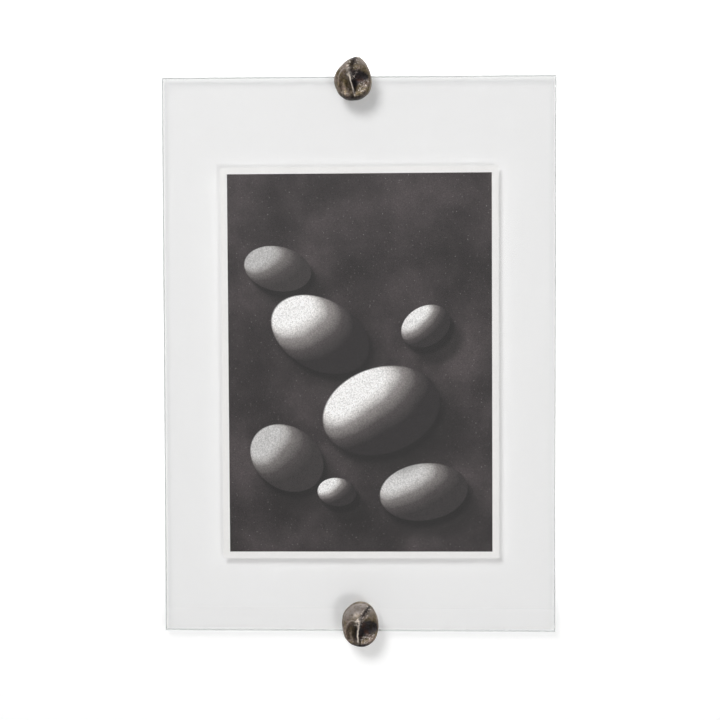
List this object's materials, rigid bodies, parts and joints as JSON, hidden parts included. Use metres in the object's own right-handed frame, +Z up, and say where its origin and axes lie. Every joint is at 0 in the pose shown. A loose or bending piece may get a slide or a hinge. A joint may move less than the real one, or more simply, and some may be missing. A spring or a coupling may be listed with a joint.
{
  "type": "clip frame",
  "caption": "Frameless wall picture holder: a print between clear glass panes, clamped by cast bronze knobs screwed onto wall studs at the middle of the top and bottom edges.",
  "frame": {"origin": "on the wall plane, on the axis of the upper stud", "axes": "+Z up, +X to the right seen from the front, +Y into the wall; the front faces -Y"},
  "size_m": [0.297, 0.0673, 0.4434],
  "materials": {
    "clear_glass": "polished float glass",
    "print_paper": "smooth matt paper",
    "cast_bronze": "dark patina rubbed bright on its ridges",
    "clear_silicone": "clear, soft",
    "clear_plastic": "clear",
    "nickel_plate": "nickel plated, turned",
    "zinc_steel": "bright zinc plated",
    "plug_nylon": "moulded nylon"
  },
  "bodies": {
    "wall_fixings": {"upper_wall_plug": "plug_nylon", "upper_hanger_bolt": "zinc_steel", "upper_standoff_nut": "nickel_plate", "upper_rear_washer": "clear_silicone", "upper_sleeve": "clear_plastic", "lower_wall_plug": "plug_nylon", "lower_hanger_bolt": "zinc_steel", "lower_standoff_nut": "nickel_plate", "lower_rear_washer": "clear_silicone", "lower_sleeve": "clear_plastic"},
    "back_glass_body": {"back_glass": "clear_glass"},
    "print_body": {"photo_print": "print_paper"},
    "front_glass_body": {"front_glass": "clear_glass"},
    "upper_front_washer_body": {"upper_front_washer": "clear_silicone"},
    "upper_knob_body": {"upper_knob": "cast_bronze"},
    "lower_front_washer_body": {"lower_front_washer": "clear_silicone"},
    "lower_knob_body": {"lower_knob": "cast_bronze"}
  },
  "joints": [
    {"name": "back_glass_lift", "type": "slide", "parent": "wall_fixings", "child": "back_glass_body", "axis": [0, 0, 1], "range_m": [0, 0.003]},
    {"name": "front_glass_lift", "type": "slide", "parent": "wall_fixings", "child": "front_glass_body", "axis": [0, 0, 1], "range_m": [0, 0.003]},
    {"name": "print_slide", "type": "slide", "parent": "wall_fixings", "child": "print_body", "axis": [1, 0, 0], "range_m": [-0.26, 0.26]},
    {"name": "upper_knob_travel", "type": "slide", "parent": "wall_fixings", "child": "upper_front_washer_body", "axis": [0, -1, 0], "range_m": [0, 0.008]},
    {"name": "upper_knob_turn", "type": "hinge", "parent": "upper_front_washer_body", "child": "upper_knob_body", "pos_m": [0, -0.0123, 0], "axis": [0, -1, 0], "range_deg": [0, 3601]},
    {"name": "lower_knob_travel", "type": "slide", "parent": "wall_fixings", "child": "lower_front_washer_body", "axis": [0, -1, 0], "range_m": [0, 0.008]},
    {"name": "lower_knob_turn", "type": "hinge", "parent": "lower_front_washer_body", "child": "lower_knob_body", "pos_m": [0, -0.0123, -0.41], "axis": [0, -1, 0], "range_deg": [0, 3601]}
  ],
  "couplings": [
    {"joint": "upper_knob_turn", "follows": "upper_knob_travel", "rad_per_m": 7854},
    {"joint": "lower_knob_turn", "follows": "lower_knob_travel", "rad_per_m": 7854}
  ]
}
